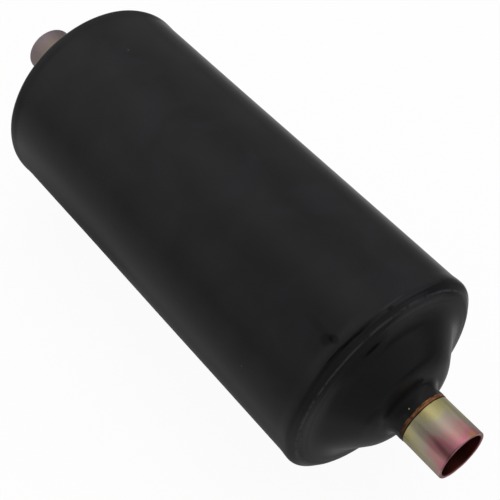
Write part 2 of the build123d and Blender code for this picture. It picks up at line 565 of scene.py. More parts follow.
@dataclass(frozen=True)
class CollarPaint(Finish):
    """The body's paint on a cap, which runs out on the collar and its braze."""

    name: str = "collar_paint"
    slot: str = "paint"
    specular: float = 0.22
    paint: StovingPaint = StovingPaint(
        # painted dark reflection on the cap's shelf, where the socket would be mirrored
        painted_dark_reflections=(
            Blot(82.06, -18.5, 0.22, 8.0, 0.8),
            Blot(82.0, -7.0, 0.14, 8.0, 0.2),
            Blot(82.1, 84.0, 0.5, 18.0, 0.3),
        ),
        # painted sheens on the cap's shelf and at the valley's lip
        painted_sheens=(Blot(81.3, 18.0, 0.6, 26.0, 0.55), Blot(81.15, -75.0, 0.55, 30.0, 0.5)),
        dulls=(Blot(81.4, -27.0, 2.8, 24.0, 0.36), Blot(93.4, -27.0, 2.8, 50.0, 0.3)),
    )
    braze: CopperBraze = CopperBraze()
    edge: float = 97.0
    edge_width: float = 0.12
    waver: float = 0.9
    waver_size: float = 2.2
    brass: Colour = srgb(228, 206, 150)
    chip: Blot = Blot(95.3, -32.0, 0.32, 1.8)
    chip_depth: float = 0.04

    def surface(self, graph: Graph) -> Surface:
        """Mix the edge of the paint.

        Args:
            graph: The material's graph.

        Returns:
            What the edge of the paint gives the shader.
        """
        wander = graph.noise(self.waver_size, detail=3.0, distortion=0.5)
        reach = graph.station() + wander.swing(self.waver)
        cover = reach.rise(self.edge + self.edge_width / 2, self.edge - self.edge_width / 2)
        look = layered(graph, cover, self.braze.surface(graph), self.paint.surface(graph))
        chip = self.chip.mask(graph)
        return look._replace(
            colour=graph.mix(chip, look.colour, self.brass),
            metallic=look.metallic * (1 - chip) + chip,
            height=look.height - chip * self.chip_depth,
        )


@dataclass(frozen=True)
class PassivatedPlating(Finish):
    """Zinc plating with a chromate film, whose colours of interference drift along the socket.

    Drifts make the film thicker or thinner in places; painted shades darken it and, where negative, painted
    highlights lighten it.
    """

    name: str = "passivated_plating"
    slot: str = "plated_steel"
    stops: tuple[tuple[float, Colour], ...] = (
        (0.00, srgb(206, 194, 136)),
        (0.16, srgb(206, 198, 150)),
        (0.32, srgb(200, 190, 164)),
        (0.50, srgb(202, 178, 166)),
        (0.66, srgb(214, 158, 154)),
        (0.82, srgb(219, 141, 156)),
        (1.00, srgb(212, 150, 124)),
    )
    bore: Colour = srgb(125, 66, 58)
    # flux residue and painted shade in the crease at the joint with the braze
    joint_flux_and_shade: Colour = srgb(40, 26, 20)
    start: float = 98.24
    length: float = 15.5
    bore_r: float = 8.02
    film_start: float = 0.18
    film_gain: float = 0.64
    brightness: float = 1.03
    matt: float = 0.31
    cloud_size: float = 7.0
    patch_size: float = 2.4
    patch_height: float = 0.004
    turning_size: float = 0.22
    turning_height: float = 0.0012
    scratch_size: float = 0.3
    scratch_height: float = 0.0012
    drifts: tuple[Blot, ...] = (
        Blot(100.2, 0.0, 4.2, 30.0, -0.24),
        Blot(102.0, -78.0, 6.0, 26.0, -0.12),
        Blot(112.8, 24.0, 2.8, 20.0, 0.22),
        Blot(104.0, 40.0, 6.0, 24.0, -0.1),
        Blot(110.0, 50.0, 8.0, 24.0, -0.26),
        Blot(110.0, -92.0, 9.0, 24.0, -0.22),
        Blot(109.0, -42.0, 7.0, 16.0, 0.16),
    )
    # painted shade: a dark streak standing for a mirrored dark room; negative ones are painted highlights
    # on the pale sides
    painted_shades_and_highlights: tuple[Blot, ...] = (
        Blot(107.0, -47.0, 15.0, 13.0, 0.42),
        Blot(113.0, -38.0, 9.0, 14.0, 0.28),
        Blot(108.0, 38.0, 16.0, 22.0, -0.36),
        Blot(108.0, -90.0, 14.0, 16.0, -0.28),
    )

    def surface(self, graph: Graph) -> Surface:
        """Mix the plating.

        Args:
            graph: The material's graph.

        Returns:
            What the plating gives the shader.
        """
        cloud = graph.noise(self.cloud_size, detail=2.0, distortion=0.6)
        patch = graph.noise(self.patch_size, detail=3.0, stretch=(1.8, 1, 1), distortion=0.8)
        turning = graph.noise(self.turning_size, detail=1.0, stretch=(1, 400, 400))
        scratch = graph.noise(self.scratch_size, detail=2.0, stretch=(14, 1, 1))
        along = (graph.station() - self.start) * (1 / self.length)
        film = along * self.film_gain + self.film_start + cloud.swing(0.36) + patch.swing(0.34)
        film = film + together(graph, self.drifts)
        inside = graph.radius().rise(self.bore_r + 0.25, self.bore_r)
        # painted shade and highlight darken or lighten the film's colour
        colour = graph.tint(film.ramp(self.stops), 1 - together(graph, self.painted_shades_and_highlights))
        colour = graph.mix(inside, colour, self.bore)
        colour = graph.tint(colour, self.brightness + scratch.swing(0.22) + patch.swing(0.14))
        # flux residue and painted shade darken the socket next to the braze
        flux_and_crease_shade = (graph.station() + patch.swing(0.3)).rise(self.start + 0.3, self.start + 0.05)
        colour = graph.mix(flux_and_crease_shade * (1 - inside), colour, self.joint_flux_and_shade)
        roughness = self.matt + cloud.swing(0.16) + scratch.swing(0.12) + inside * 0.1
        height = turning * self.turning_height + scratch * self.scratch_height
        return Surface(colour, roughness, 1.0, height + patch * self.patch_height)


PLATINGS = {
    End.OUTLET: PassivatedPlating(),
    End.INLET: PassivatedPlating(
        name="dulled_plating",
        stops=(
            (0.0, srgb(158, 152, 138)),
            (0.3, srgb(156, 145, 132)),
            (0.6, srgb(156, 139, 132)),
            (0.85, srgb(152, 138, 146)),
            (1.0, srgb(158, 134, 136)),
        ),
        matt=0.5,
        drifts=(),
        # painted shade: the dark streak of a mirrored dark room
        painted_shades_and_highlights=(Blot(109.0, -37.0, 15.0, 12.0, 0.32),),
    ),
}


@dataclass(frozen=True)
class SpringWire(Finish):
    """Drawn spring steel under a film of oil."""

    name: str = "spring_wire"
    slot: str = "spring_steel"
    steel: Colour = srgb(96, 94, 92)
    dull: Colour = srgb(62, 58, 56)
    cloud_size: float = 6.0
    grain_size: float = 0.4
    grain_height: float = 0.003

    def surface(self, graph: Graph) -> Surface:
        """Mix the wire.

        Args:
            graph: The material's graph.

        Returns:
            What the wire gives the shader.
        """
        cloud = graph.noise(self.cloud_size, detail=3.0)
        grain = graph.noise(self.grain_size, detail=2.0)
        colour = graph.mix(cloud.rise(0.35, 0.65), self.dull, self.steel)
        return Surface(colour, 0.28 + cloud * 0.15 + grain * 0.1, 1.0, grain * self.grain_height)


@dataclass(frozen=True)
class BareSheet(Finish):
    """Pressed steel sheet with its rolling lines."""

    name: str = "bare_sheet"
    slot: str = "plain_steel"
    clean: Colour = srgb(168, 168, 166)
    stained: Colour = srgb(128, 124, 118)
    cloud_size: float = 9.0
    rolling_size: float = 0.4
    rolling_height: float = 0.004

    def surface(self, graph: Graph) -> Surface:
        """Mix the sheet.

        Args:
            graph: The material's graph.

        Returns:
            What the sheet gives the shader.
        """
        cloud = graph.noise(self.cloud_size, detail=3.0)
        rolling = graph.noise(self.rolling_size, detail=2.0, stretch=(1, 30, 1))
        colour = graph.mix(cloud.rise(0.35, 0.7), self.clean, self.stained)
        colour = graph.tint(colour, 0.92 + rolling * 0.16)
        return Surface(colour, 0.3 + cloud * 0.14 + rolling * 0.1, 1.0, rolling * self.rolling_height)


@dataclass(frozen=True)
class PressedFelt(Finish):
    """Pale fibre felt."""

    name: str = "pressed_felt"
    slot: str = "felt"
    specular: float = 0.2
    pale: Colour = srgb(206, 202, 190)
    shade: Colour = srgb(160, 154, 140)
    cloud_size: float = 5.0
    fibre_size: float = 0.7
    fibre_height: float = 0.12

    def surface(self, graph: Graph) -> Surface:
        """Mix the felt.

        Args:
            graph: The material's graph.

        Returns:
            What the felt gives the shader.
        """
        cloud = graph.noise(self.cloud_size, detail=3.0)
        fibre = graph.noise(self.fibre_size, detail=4.0, stretch=(1, 3, 1), distortion=2.5)
        colour = graph.mix(fibre.rise(0.3, 0.7), self.shade, self.pale)
        colour = graph.tint(colour, 0.92 + cloud * 0.12)
        return Surface(colour, 0.86 + fibre * 0.1, 0.0, fibre * self.fibre_height)


@dataclass(frozen=True)
class MouldedDesiccant(Finish):
    """Desiccant beads bonded into a block."""

    name: str = "moulded_desiccant"
    slot: str = "desiccant"
    specular: float = 0.3
    bead: Colour = srgb(196, 184, 160)
    bond: Colour = srgb(132, 118, 96)
    cloud_size: float = 12.0
    bead_size: float = 1.3
    bead_height: float = 0.2

    def surface(self, graph: Graph) -> Surface:
        """Mix the block.

        Args:
            graph: The material's graph.

        Returns:
            What the block gives the shader.
        """
        cloud = graph.noise(self.cloud_size, detail=3.0)
        sockets = {"Vector": graph.place(), "Scale": 1 / (self.bead_size * MM)}
        distance = graph.add("ShaderNodeTexVoronoi", None, sockets, "Distance")
        top = distance.rise(0.62, 0.1)
        colour = graph.mix(top, self.bond, self.bead)
        colour = graph.tint(colour, 0.9 + cloud * 0.2)
        return Surface(colour, 0.8 + cloud * 0.1, 0.0, top * self.bead_height)


# ---- Turned meshes ----


class Section(NamedTuple):
    """A closed section through a turned piece: stations, radii, and 1 where the face is in the open."""

    x: Grid
    r: Grid
    open_air: Grid


class SectionLine:
    """A line in the half plane of station and radius, drawn step by step.

    Its heading, in radians from +X away from the axis, is where the next tangent step goes. Each step
    says whether its face is in the open, and how far apart its points are.
    """

    def __init__(self, x: float, r: float, open_air: bool = False) -> None:
        """Start the line at a station and a radius, towards +X."""
        self.points = [(x, r, float(open_air))]
        self.heading = 0.0

    def run(self, length: float, open_air: bool = False, pitch: float = 0.7) -> "SectionLine":
        """Go straight on for a length."""
        x, r, _ = self.points[-1]
        return self.to(x + length * cos(self.heading), r + length * sin(self.heading), open_air, pitch)

    def to(self, x: float, r: float, open_air: bool = False, pitch: float = 0.7) -> "SectionLine":
        """Go straight to a point.

        Args:
            x: Its station.
            r: Its radius.
            open_air: Whether the face is in the open.
            pitch: Distance between points.

        Returns:
            The line.
        """
        x0, r0, _ = self.points[-1]
        steps = max(1, round(hypot(x - x0, r - r0) / pitch))
        for step in range(1, steps + 1):
            share = step / steps
            self.points.append((x0 + (x - x0) * share, r0 + (r - r0) * share, float(open_air)))
        self.heading = atan2(r - r0, x - x0)
        return self

    def bend(self, radius: float, turn: float, open_air: bool = False, pitch: float = 0.4) -> "SectionLine":
        """Go round an arc.

        Args:
            radius: Its radius.
            turn: Degrees it turns through, positive away from the axis.
            open_air: Whether the face is in the open.
            pitch: Distance between points.

        Returns:
            The line.
        """
        x, r, _ = self.points[-1]
        angle = radians(turn)
        side = 1 if turn > 0 else -1
        centre_x = x - side * radius * sin(self.heading)
        centre_r = r + side * radius * cos(self.heading)
        steps = max(2, round(radius * abs(angle) / pitch))
        for step in range(1, steps + 1):
            heading = self.heading + angle * step / steps
            point_x = centre_x + side * radius * sin(heading)
            point_r = centre_r - side * radius * cos(heading)
            self.points.append((point_x, point_r, float(open_air)))
        self.heading += angle
        return self

    @property
    def end(self) -> tuple[float, float]:
        """Station and radius of the last point."""
        return self.points[-1][:2]


def closed(outer: SectionLine, inner: SectionLine | None = None) -> Section:
    """Close a section.

    Args:
        outer: A line along the outer face.
        inner: One along the inner face that runs the same way, or none if the outer line closes itself.

    Returns:
        The section, each point once.
    """
    points = outer.points + (inner.points[::-1] if inner else [])
    following = points[1:] + points[:1]
    kept = [p for p, q in zip(points, following) if hypot(p[0] - q[0], p[1] - q[1]) > SAME]
    x, r, open_air = (np.array(values) for values in zip(*kept))
    return Section(x, r, open_air)


@dataclass(frozen=True)
class Unevenness:
    """Smooth waves over a turned face, the same at every run."""

    seed: int
    height: float
    round_waves: int
    length: float
    count: int = 28

    def at(self, end: End) -> "Unevenness":
        """Waves of the same kind with the end's own seed."""
        return replace(self, seed=self.seed + end.value)

    def over(self, x: Grid, angle: Grid) -> Grid:
        """Height of the waves.

        Args:
            x: Stations.
            angle: Angles round the axis, in radians.

        Returns:
            Heights in millimetres, most of them within the height given, and round 0.
        """
        chance = np.random.default_rng(self.seed)
        total = np.zeros(np.broadcast(x, angle).shape)
        for _ in range(self.count):
            waves = chance.integers(0, self.round_waves + 1)
            slope = chance.uniform(-1, 1) * 2 * np.pi / self.length
            total = total + np.sin(waves * angle + slope * x + chance.uniform(0, 2 * np.pi))
        return total * self.height / np.sqrt(self.count)


def smooth(low: float, high: float, value: Grid) -> Grid:
    """Smooth step of each value, from 0 at low to 1 at high."""
    share = np.clip((value - low) / (high - low), 0, 1)
    return share * share * (3 - 2 * share)


class Face(NamedTuple):
    """Points of a turned piece: stations, radii, angles, and 1 where the face is in the open."""

    x: Grid
    r: Grid
    angle: Grid
    open_air: Grid


Relief = Callable[[Face], tuple[Grid, Grid]]


def placed(name: str, data: bpy.types.ID) -> bpy.types.Object:
    """Make an object and put it in the scene.

    Args:
        name: Its name.
        data: Its mesh, lamp or camera.

    Returns:
        The object.
    """
    thing = bpy.data.objects.new(name, data)
    bpy.context.scene.collection.objects.link(thing)
    return thing


@dataclass
class TurnedPiece:
    """A closed mesh swept round the axis from a section, with a relief that makes it real.

    It wears its finish, rides on the body and stands for a node of the frame.
    """

    name: str
    node: str
    section: Section
    relief: Relief
    segments: int
    finish: Finish
    crease: float = 32.0

    def build(self, side: int = 1) -> bpy.types.Object:
        """Make the piece.

        Args:
            side: 1 as drawn, -1 mirrored to the other end.

        Returns:
            The object, with its origin in the row frame's.
        """
        angle = np.linspace(0, 2 * np.pi, self.segments, endpoint=False)[:, None]
        x = np.broadcast_to(self.section.x, (self.segments, self.section.x.size))
        r = np.broadcast_to(self.section.r, x.shape)
        x, r = self.relief(Face(x, r, angle, self.section.open_air))
        places = np.stack([x * side, r * np.sin(angle), r * np.cos(angle)], -1) * MM
        mesh = bpy.data.meshes.new(self.name)
        mesh.from_pydata(places.reshape(-1, 3).tolist(), [], self._faces(side).tolist())
        mesh.validate()
        mesh.shade_smooth()
        mesh.set_sharp_from_angle(angle=radians(self.crease))
        piece = placed(self.name, mesh)
        self.finish.dress(piece)
        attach(piece, BODY)
        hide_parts(self.node)
        return piece

    def _faces(self, side: int) -> Grid:
        """Corners of the quads, with their normals outwards.

        Args:
            side: 1 as drawn, -1 mirrored.

        Returns:
            One row of four corners for each face.
        """
        count = self.section.x.size
        here = np.arange(self.segments * count).reshape(self.segments, count)
        ahead = np.roll(here, -1, 0)
        quads = np.stack([here, np.roll(here, -1, 1), np.roll(ahead, -1, 1), ahead], -1).reshape(-1, 4)
        x, r = self.section.x, self.section.r
        area = np.sum(x * np.roll(r, -1) - np.roll(x, -1) * r)
        return quads[:, ::-1] if (area > 0) == (side > 0) else quads


# ---- Sub-assemblies ----


@dataclass
class BodyShell:
    """Body tube with slightly swollen mouths."""

    outer_r: float = 38.1
    wall: float = 1.8
    length: float = 155.4
    swell_rise: float = 0.25
    swell_length: float = 4.2
    waves: Unevenness = Unevenness(11, 0.035, 5, 70.0)
    true_length: float = 6.0
    segments: int = 384
    paint: StovingPaint = StovingPaint()

    @property
    def mouth_x(self) -> float:
        """Station of a mouth."""
        return self.length / 2

    @property
    def mouth_r(self) -> float:
        """Radius of a mouth."""
        return self.outer_r + self.swell_rise

    @property
    def inner_r(self) -> float:
        """Radius of the bore."""
        return self.outer_r - self.wall

    def section(self) -> Section:
        """Draw the tube, each mouth's swell an S of two arcs.

        Returns:
            Its section.
        """
        turn = 2 * degrees(atan2(self.swell_rise, self.swell_length))
        arc_r = self.swell_length / 2 / sin(radians(turn))
        outer = SectionLine(-self.mouth_x, self.mouth_r, open_air=True)
        outer.bend(arc_r, -turn, True).bend(arc_r, turn, True)
        outer.run(self.length - 2 * self.swell_length, True, pitch=4.0)
        outer.bend(arc_r, turn, True).bend(arc_r, -turn, True)
        inner = SectionLine(-self.mouth_x, self.inner_r).run(self.length, pitch=20.0)
        return closed(outer, inner)

    def relief(self, face: Face) -> tuple[Grid, Grid]:
        """Let the rolled tube be a little out of round.

        Args:
            face: The points as drawn.

        Returns:
            Their new stations and radii.
        """
        x, r, angle, open_air = face
        fade = smooth(0, self.true_length, self.mouth_x - np.abs(x)) * open_air
        return x, r + self.waves.over(x, angle) * fade

    def build(self) -> list[bpy.types.Object]:
        """Make and dress the tube."""
        tube = TurnedPiece("body_tube", "shell", self.section(), self.relief, self.segments, self.paint)
        return [tube.build()]


@dataclass
class EndClosure:
    """Pressed cap with its drawn collar, and the weld that seals it in the tube's mouth.

    The weld's face ends in a low ridge with a sharp crease between it and the cap, and its pool leaves
    ripples that lag here and there. The press ring leaves a faint round mark on the cap's shelf.
    """

    end: End
    shell: BodyShell
    sheet: float = 2.0
    clearance: float = 0.05
    skirt_depth: float = 7.0
    skirt_stand: float = 1.25
    bend_r: float = 2.6
    shelf_slope: float = 8.0
    shelf_width: float = 2.9
    valley_r: float = 10.0
    flank_slope: float = 38.5
    knuckle_r: float = 12.0
    crown_slope: float = 8.0
    crown_width: float = 1.6
    root_r: float = 3.0
    collar_r: float = 9.3
    collar_inner_r: float = 8.0
    collar_length: float = 2.05
    bead_r: float = 2.1
    bead_turn: float = 61.0
    toe_angle: float = 46.0
    ridge_x: tuple[float, ...] = (80.48, 80.60, 80.69, 80.75)
    ridge_r: tuple[float, ...] = (36.14, 35.98, 35.82, 35.66)
    press: Unevenness = Unevenness(20, 0.035, 9, 26.0)
    press_fade: tuple[float, float] = (81.6, 83.0)
    ring_r: float = 32.2
    ring_rise: float = 0.035
    ring_half_width: float = 0.4
    ring_stop: float = 84.0
    lumps: Unevenness = Unevenness(30, 0.08, 14, 4.0)
    lumps_fade: tuple[float, float] = (93.0, 95.5)
    wander: Unevenness = Unevenness(40, 0.05, 14, 60.0)
    sink: float = 0.03
    lag: Unevenness = Unevenness(50, 0.25, 6, 60.0)
    ripples: int = 132
    ripple_height: float = 0.003
    ripple_bow: float = 1.1
    swell_reach: float = 1.6
    swell_lean: tuple[float, float] = (0.75, 0.66)
    cap_segments: int = 384
    bead_segments: int = 640
    weld_paint: WeldPaint = WeldPaint()
    collar_paint: CollarPaint = CollarPaint()

    @property
    def skirt_r(self) -> float:
        """Radius of the skirt."""
        return self.shell.inner_r - self.clearance

    @property
    def flank_width(self) -> float:
        """Length of the flank, which takes up what the other steps leave between skirt and collar.

        Returns:
            The length in millimetres.
        """
        slopes = (self.shelf_slope, self.flank_slope, self.crown_slope)
        shelf, flank, crown = (radians(slope) for slope in slopes)
        taken = self.bend_r * (1 - sin(shelf)) + self.shelf_width * cos(shelf)
        taken += self.valley_r * (sin(flank) - sin(shelf)) + self.knuckle_r * (sin(flank) - sin(crown))
        taken += self.crown_width * cos(crown) + self.root_r * (1 - sin(crown))
        return (self.skirt_r - self.collar_r - taken) / cos(flank)

    def _crown_line(self, depth: float, open_air: bool) -> SectionLine:
        """Line of the cap from the skirt's end to the crown's.

        Args:
            depth: How deep it runs below the cap's outer face.
            open_air: Whether that face is in the open.

        Returns:
            The line.
        """
        line = SectionLine(self.shell.mouth_x - self.skirt_depth, self.skirt_r - depth)
        line.run(self.skirt_depth + self.skirt_stand, pitch=2.0)
        line.bend(self.bend_r - depth, self.shelf_slope - 90, open_air, pitch=0.3)
        line.run(self.shelf_width, open_air, pitch=0.2)
        line.bend(self.valley_r + depth, self.flank_slope - self.shelf_slope, open_air)
        line.run(self.flank_width, open_air)
        line.bend(self.knuckle_r - depth, self.crown_slope - self.flank_slope, open_air)
        return line.run(self.crown_width, open_air)

    def collar_end(self) -> float:
        """Station where the collar ends."""
        crown_x, _ = self._crown_line(0, True).end
        return crown_x + self.root_r * cos(radians(self.crown_slope)) + self.collar_length

    def cap_section(self) -> Section:
        """Draw the cap, its collar thinner than the sheet.

        Returns:
            Its section.
        """
        turn = 90 - self.crown_slope
        outer = self._crown_line(0, True)
        outer.bend(self.root_r, turn, True, pitch=0.3).run(self.collar_length, True, pitch=0.3)
        inner = self._crown_line(self.sheet, False)
        root_r = (inner.end[1] - self.collar_inner_r) / (1 - sin(radians(self.crown_slope)))
        inner.bend(root_r, turn)
        inner.run(self.collar_end() - inner.end[0], pitch=2.0)
        return closed(outer, inner)

    def cap_relief(self, face: Face) -> tuple[Grid, Grid]:
        """Press marks on the cap, and lumps where heat and paint gathered at its collar.

        Args:
            face: The points as drawn.

        Returns:
            Their new stations and radii.
        """
        x, r, angle, open_air = face
        clear = smooth(*self.press_fade, x) * open_air
        press = self.press.at(self.end).over(x, angle)
        collar = smooth(*self.lumps_fade, x) * smooth(0, 0.3, self.collar_end() - x) * open_air
        lumps = self.lumps.at(self.end).over(x, angle)
        off_ring = (r - self.ring_r) / self.ring_half_width
        ring = self.ring_rise * np.exp(-(off_ring**2)) * (x < self.ring_stop) * open_air
        return x + press * clear * (1 - collar) + ring, r + lumps * collar

    def bead_section(self) -> Section:
        """Draw the weld: a round crest on the mouth, then a ridge and a crease on the cap's bend.

        Returns:
            Its section.
        """
        mouth_x, mouth_r = self.shell.mouth_x, self.shell.mouth_r
        stand_x, centre_r = mouth_x + self.skirt_stand, self.skirt_r - self.bend_r
        toe = radians(self.toe_angle)
        line = SectionLine(mouth_x, mouth_r, open_air=True)
        line.bend(self.bead_r, -self.bead_turn, True, pitch=0.2)
        for x, r in zip(self.ridge_x, self.ridge_r):
            line.to(x, r, True, pitch=0.25)
        line.to(stand_x + self.bend_r * sin(toe), centre_r + self.bend_r * cos(toe), True, pitch=0.25)
        line.heading = pi - toe
        line.bend(self.bend_r, self.toe_angle)
        line.to(mouth_x, self.skirt_r).to(mouth_x, mouth_r)
        return closed(line)

    def bead_relief(self, face: Face) -> tuple[Grid, Grid]:
        """Ripples of the weld pool, and a toe that wanders a little.

        Args:
            face: The points as drawn.

        Returns:
            Their new stations and radii.
        """
        x, r, angle, open_air = face
        mouth_x, mouth_r = self.shell.mouth_x, self.shell.mouth_r
        reach = hypot(self.bead_r * self.swell_reach, mouth_r - self.skirt_r + self.bead_r)
        share = np.hypot(x - mouth_x, mouth_r - r) / reach
        swell = np.sin(np.pi * np.clip(share, 0, 1)) * open_air
        wander = self.wander.at(self.end).over(x, angle)
        lag = self.lag.at(self.end).over(x, angle)
        ripple = self.ripple_height * np.cos(self.ripples * angle + lag + self.ripple_bow * share)
        depth = (wander - self.sink + ripple) * swell
        lean_x, lean_r = self.swell_lean
        return x + depth * lean_x, r + depth * lean_r

    def build(self) -> list[bpy.types.Object]:
        """Make and dress the cap and its weld.

        Returns:
            Both pieces.
        """
        name = self.end.label
        cap = (self.cap_section(), self.cap_relief, self.cap_segments, self.collar_paint)
        bead = (self.bead_section(), self.bead_relief, self.bead_segments, self.weld_paint)
        pieces = (
            TurnedPiece(f"{name}_cap_pressing", f"{name}_end_cap", *cap),
            TurnedPiece(f"{name}_seam_bead", f"{name}_seam_weld", *bead),
        )
        return [piece.build(self.end.value) for piece in pieces]


@dataclass
class SolderSocket:
    """Fitting with a widened mouth, and the copper that brazes it into the collar."""

    end: End
    cap: EndClosure
    bore_r: float = 8.0
    wall: float = 1.2
    reach: float = 15.5
    lip_round: float = 0.35
    inset: float = 4.5
    tail_spare: float = 1.0
    clearance: float = 0.05
    braze_gap: float = 0.9
    braze_bulge: float = 0.08
    braze_steps: int = 10
    trim: Unevenness = Unevenness(60, 0.02, 12, 40.0)
    trim_depth: float = 0.06
    swage: Unevenness = Unevenness(70, 0.015, 7, 12.0)
    swage_fade: tuple[float, float] = (0.3, 2.0)
    braze_waves: Unevenness = Unevenness(80, 0.05, 13, 2.0)
    segments: int = 256
    plating: PassivatedPlating = PassivatedPlating()
    braze: CopperBraze = CopperBraze()

    @property
    def outer_r(self) -> float:
        """Outer radius of the mouth."""
        return self.bore_r + self.wall

    @property
    def mouth_start(self) -> float:
        """Station where the mouth has its full width."""
        return self.cap.collar_end() + self.braze_gap

    @property
    def lip_x(self) -> float:
        """Station of the lip."""
        return self.mouth_start + self.reach

    def fitting_section(self) -> Section:
        """Draw the fitting, from its tail inside the drier to its lip.

        Returns:
            Its section.
        """
        tail_r = self.bore_r - self.clearance
        shoulder_x = self.cap.collar_end()
        tail_x = shoulder_x - self.cap.collar_length - self.inset - self.tail_spare
        shift = self.wall * tan(atan2(self.outer_r - tail_r, self.braze_gap) / 2)
        lip = self.lip_round
        line = SectionLine(tail_x, tail_r).to(shoulder_x, tail_r, pitch=2.0)
        line.to(self.mouth_start, self.outer_r, pitch=0.4)
        line.to(self.lip_x - lip, self.outer_r, True, pitch=0.5)
        line.bend(lip, -90, True, pitch=0.08)
        line.run(self.wall - 2 * lip, True, pitch=0.2)
        line.bend(lip, -90, True, pitch=0.08)
        line.to(self.mouth_start + shift, self.bore_r)
        line.to(shoulder_x + shift, tail_r - self.wall, pitch=0.4)
        line.to(tail_x, tail_r - self.wall, pitch=2.0).to(tail_x, tail_r)
        return closed(line)

    def fitting_relief(self, face: Face) -> tuple[Grid, Grid]:
        """Let the swaged mouth be a little uneven, and its lip with it.

        Args:
            face: The points as drawn.

        Returns:
            Their new stations and radii.
        """
        x, r, angle, open_air = face
        near_lip = smooth(1.0, 0.0, self.lip_x - x) * open_air
        trim = self.trim.at(self.end).over(x, angle)
        swage = self.swage.at(self.end).over(x, angle)
        fade = smooth(*self.swage_fade, x - self.mouth_start) * open_air
        return x + (trim - self.trim_depth) * near_lip, r + swage * fade

    def braze_section(self) -> Section:
        """Draw the braze between the collar's end and the fitting's shoulder.

        Returns:
            Its section.
        """
        start, stop = self.cap.collar_end(), self.mouth_start
        line = SectionLine(start, self.cap.collar_r, open_air=True)
        for step in range(1, self.braze_steps + 1):
            share = step / self.braze_steps
            radius = self.cap.collar_r + (self.outer_r - self.cap.collar_r) * share
            bulge = self.braze_bulge * sin(pi * share)
            line.to(start + (stop - start) * share, radius + bulge, True, pitch=1.0)
        tail_r = self.bore_r - self.clearance
        line.to(start, tail_r, pitch=0.4).to(start, self.cap.collar_r, pitch=0.4)
        return closed(line)

    def braze_relief(self, face: Face) -> tuple[Grid, Grid]:
        """Let the braze stand higher here than there.

        Args:
            face: The points as drawn.

        Returns:
            Their new stations and radii.
        """
        x, r, angle, open_air = face
        share = np.clip((x - self.cap.collar_end()) / self.braze_gap, 0, 1)
        waves = self.braze_waves.at(self.end).over(x, angle)
        return x, r + waves * np.sin(np.pi * share) * open_air

    def build(self) -> list[bpy.types.Object]:
        """Make and dress the fitting and its braze.

        Returns:
            Both pieces.
        """
        name = self.end.label
        fitting = (self.fitting_section(), self.fitting_relief, self.segments, self.plating)
        fillet = (self.braze_section(), self.braze_relief, self.segments, self.braze)
        pieces = (
            TurnedPiece(f"{name}_solder_socket", f"{name}_fitting", *fitting),
            TurnedPiece(f"{name}_braze_fillet", f"{name}_braze_ring", *fillet),
        )
        return [piece.build(self.end.value) for piece in pieces]


@dataclass
class DryingCharge:
    """What is inside: its solids are shown as they are and only dressed."""

    finishes: dict[str, Finish] = field(
        default_factory=lambda: {
            "core_spring": SpringWire(),
            "spring_plate": BareSheet(),
            "support_plate": BareSheet(),
            "inlet_felt": PressedFelt(),
            "core_gasket": PressedFelt(),
            "filter_pad": PressedFelt(),
            "drier_core": MouldedDesiccant(),
        }
    )

    def build(self) -> list[bpy.types.Object]:
        """Dress each solid.

        Returns:
            The solids.
        """
        for node, finish in self.finishes.items():
            finish.dress(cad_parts[node])
        return [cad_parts[node] for node in self.finishes]


# ---- Studio ----


@dataclass
class Softbox:
    """A large soft lamp, which lights the object but isn't mirrored in it.

    Its place and its width are in metres.
    """

    name: str
    place: tuple[float, float, float]
    width: float
    power: float

    def build(self) -> bpy.types.Object:
        """Hang the lamp, facing the object.

        Returns:
            The lamp.
        """
        light = bpy.data.lights.new(self.name, "AREA")
        light.shape = "DISK"
        light.size = self.width
        light.energy = self.power
        lamp = placed(self.name, light)
        lamp.location = self.place
        lamp.rotation_euler = Vector(self.place).to_track_quat("Z", "Y").to_euler()
        lamp.visible_glossy = False
        return lamp


def compass(azimuth: float, elevation: float) -> Vector:
    """Direction in the room, by degrees from +X towards +Y and degrees above the floor."""
    flat = cos(radians(elevation))
    return Vector((flat * cos(radians(azimuth)), flat * sin(radians(azimuth)), sin(radians(elevation))))


@dataclass(frozen=True)
class Patch:
    """A round dim patch of the room: where it is, how far it reaches in degrees, and its depth."""

    azimuth: float
    elevation: float
    core: float
    rim: float
    depth: float

    def mask(self, towards: Signal) -> Signal:
        """How dim the room is.

        Args:
            towards: Direction in the room.

        Returns:
            The share of the light that the patch takes away.
        """
        middle = compass(self.azimuth, self.elevation)
        near = towards.graph.vector("DOT_PRODUCT", towards, middle, output="Value")
        return near.rise(cos(radians(self.rim)), cos(radians(self.core))) * self.depth


